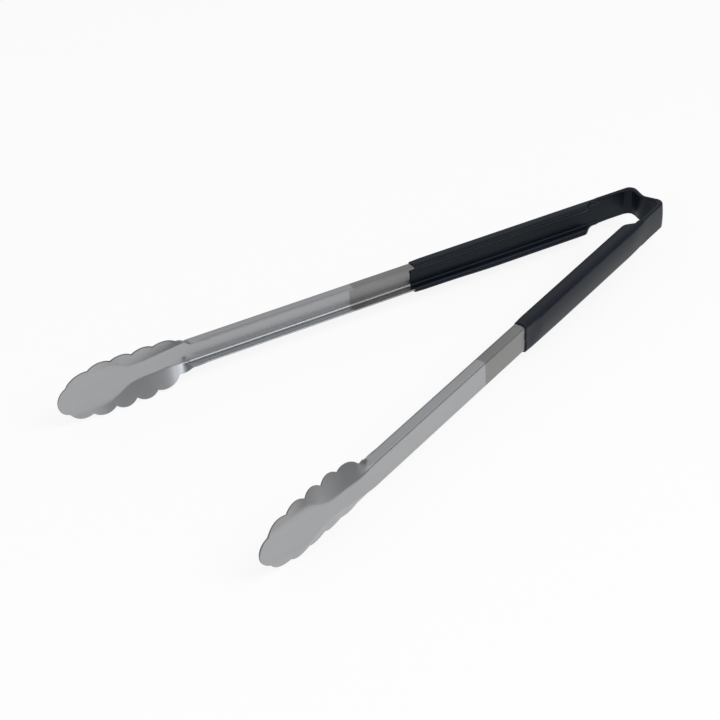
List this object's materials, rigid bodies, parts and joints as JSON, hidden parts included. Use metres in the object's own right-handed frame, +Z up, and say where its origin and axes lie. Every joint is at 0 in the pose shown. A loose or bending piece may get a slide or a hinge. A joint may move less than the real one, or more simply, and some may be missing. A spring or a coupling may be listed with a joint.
{
  "type": "kitchen tongs",
  "caption": "Sprung steel strip tongs with channel arms, scalloped scoop heads and a dipped vinyl covering on the bow and grips; squeezing the grips closes the heads.",
  "frame": {"origin": "under the middle of the open tongs' bounding box, at the height of the lowest scallops", "axes": "+X from the bow to the heads along the centre line, +Y towards the left arm, +Z up across the width of the strip"},
  "size_m": [0.4005, 0.186, 0.0367],
  "materials": {
    "steel": "satin brushed along the strip",
    "vinyl": "satin dipped vinyl"
  },
  "bodies": {
    "bow": {"spring_bow": "steel", "bow_coating": "vinyl"},
    "left_arm": {"left_arm": "steel", "left_grip": "vinyl"},
    "right_arm": {"right_arm": "steel", "right_grip": "vinyl"}
  },
  "joints": [
    {"name": "left_flex", "type": "hinge", "parent": "bow", "child": "left_arm", "pos_m": [-0.18628, 0.0164, 0.01836], "axis": [0, 0, -1], "range_deg": [0, 13.42], "stiffness_Nm_per_rad": 5.9},
    {"name": "right_flex", "type": "hinge", "parent": "bow", "child": "right_arm", "pos_m": [-0.18628, -0.0164, 0.01836], "axis": [0, 0, 1], "range_deg": [0, 13.42], "stiffness_Nm_per_rad": 5.9}
  ],
  "couplings": [
    {"joint": "right_flex", "follows": "left_flex", "ratio": 1}
  ]
}
